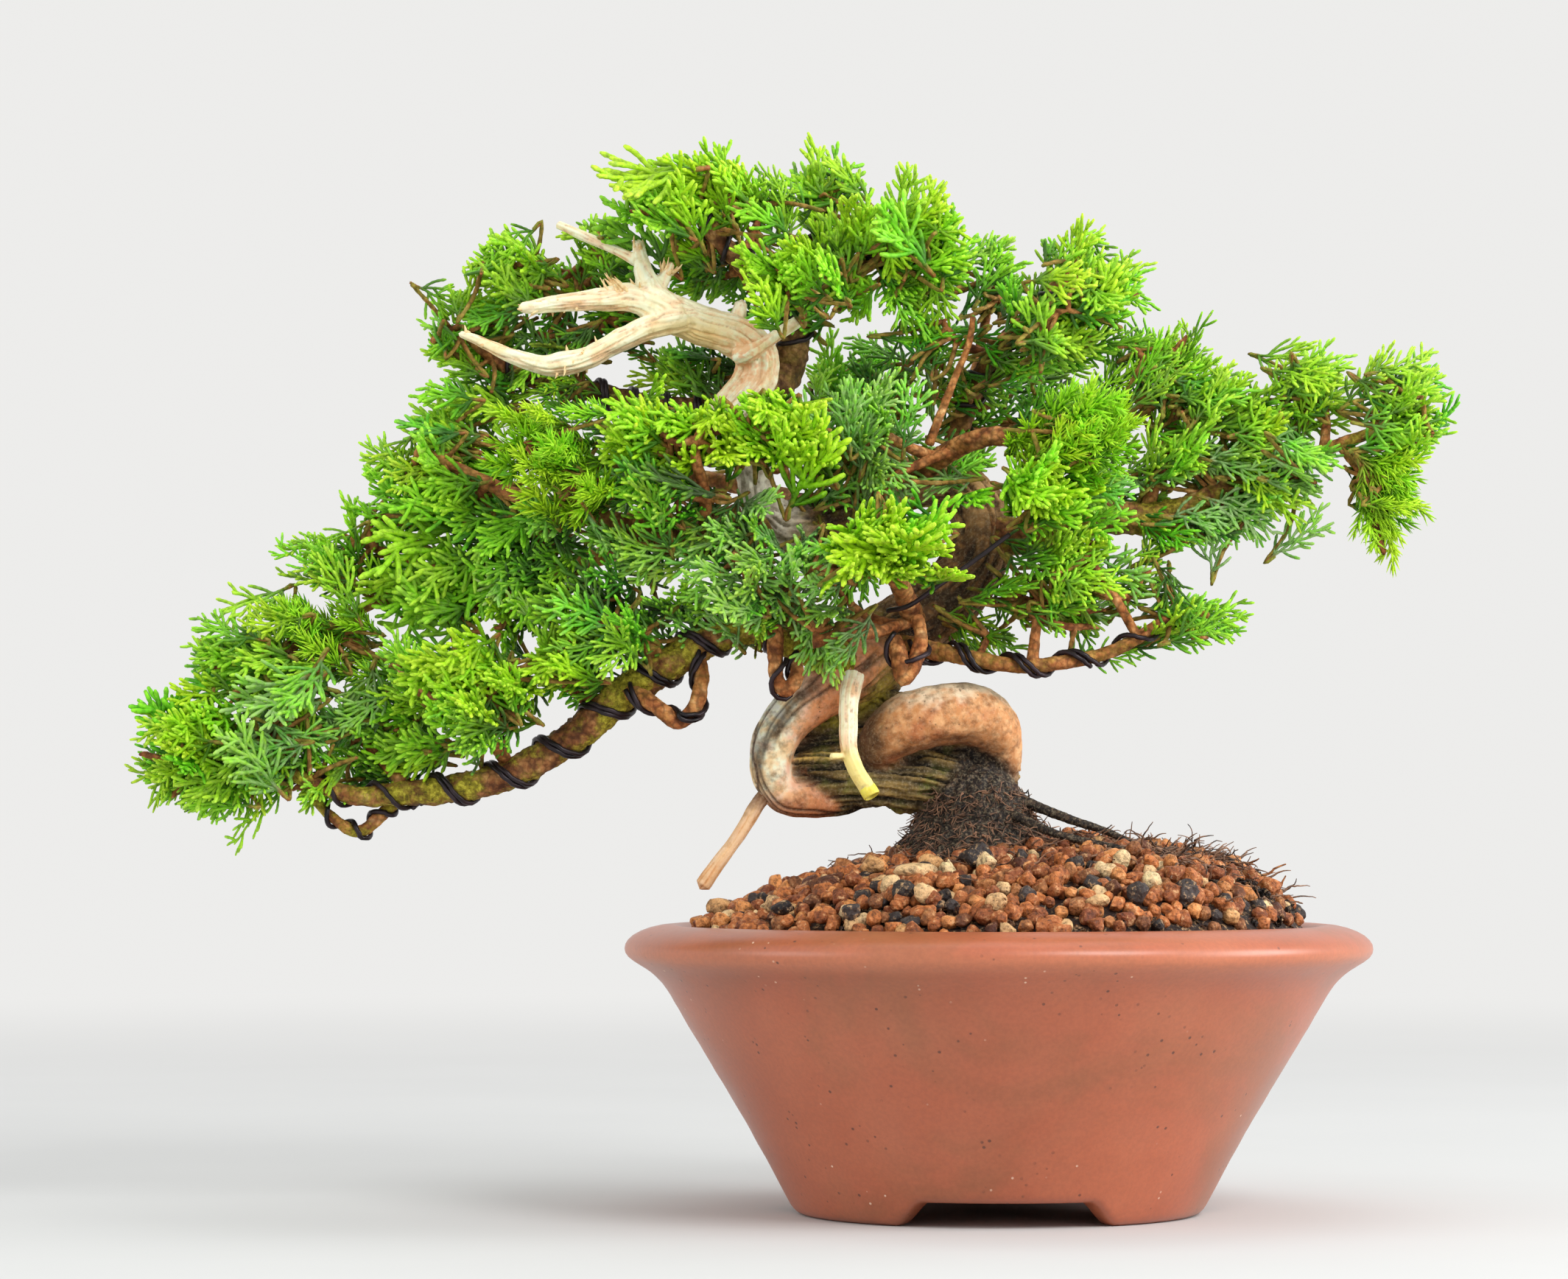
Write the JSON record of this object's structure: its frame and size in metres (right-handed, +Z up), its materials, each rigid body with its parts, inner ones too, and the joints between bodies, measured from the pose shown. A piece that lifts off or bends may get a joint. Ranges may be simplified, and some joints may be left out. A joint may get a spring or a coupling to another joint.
{
  "type": "bonsai tree in a pot",
  "caption": "Small wired juniper bonsai with coiled trunk, bleached dead top and spreading pads of green foliage, in a round red-brown footed pot of grainy soil.",
  "frame": {"origin": "middle of the outline seen from above, on the plane the pot's feet stand on", "axes": "+Z up along the pot's axis, +X to the tree's right seen from its front, +Y to its back; X is the longest extent"},
  "size_m": [0.3242, 0.1808, 0.2663],
  "materials": {
    "pot_stoneware": "satin",
    "soil_grains": "matte",
    "plastic_mesh": "matte",
    "clip_wire": "satin",
    "training_wire": "satin",
    "dead_wood": "matte",
    "trunk_bark": "matte",
    "root_bark": "matte",
    "branch_bark": "matte",
    "foliage": "matte"
  },
  "bodies": {
    "root": {"branch_back_centre": "branch_bark", "branch_back_left": "branch_bark", "branch_front": "branch_bark", "branch_left": "branch_bark", "branch_low_left": "branch_bark", "branch_low_right": "branch_bark", "branch_middle_left": "branch_bark", "branch_middle_right": "branch_bark", "branch_right": "branch_bark", "branch_upper_left": "branch_bark", "branch_upper_right": "branch_bark", "deadwood_stub_front": "dead_wood", "deadwood_stub_low": "dead_wood", "deadwood_top": "dead_wood", "drain_mesh": "plastic_mesh", "foliage_apex_back": "foliage", "foliage_apex_front": "foliage", "foliage_apex_left": "foliage", "foliage_apex_right": "foliage", "foliage_back_left": "foliage", "foliage_back_right": "foliage", "foliage_centre": "foliage", "foliage_centre_back": "foliage", "foliage_centre_front": "foliage", "foliage_centre_hanging": "foliage", "foliage_centre_left": "foliage", "foliage_far_left": "foliage", "foliage_far_left_top": "foliage", "foliage_left_front": "foliage", "foliage_left_low_inner": "foliage", "foliage_left_lower": "foliage", "foliage_left_mid": "foliage", "foliage_left_mid_front": "foliage", "foliage_left_outer": "foliage", "foliage_left_spray": "foliage", "foliage_low_left_front": "foliage", "foliage_low_mid": "foliage", "foliage_right_centre_low": "foliage", "foliage_right_end": "foliage", "foliage_right_long": "foliage", "foliage_right_low_tip": "foliage", "foliage_right_mid_front": "foliage", "foliage_right_twigs": "foliage", "foliage_upper_left": "foliage", "foliage_upper_left_low": "foliage", "foliage_upper_right": "foliage", "foliage_upper_right_back": "foliage", "leader": "branch_bark", "mesh_clip": "clip_wire", "pot": "pot_stoneware", "soil_mound": "soil_grains", "surface_root_right": "root_bark", "tie_down_wire": "clip_wire", "trunk": "trunk_bark", "wire_free_end": "training_wire", "wire_leader": "training_wire", "wire_low_left": "training_wire", "wire_low_right": "training_wire", "wire_upper_left": "training_wire"}
  },
  "joints": []
}
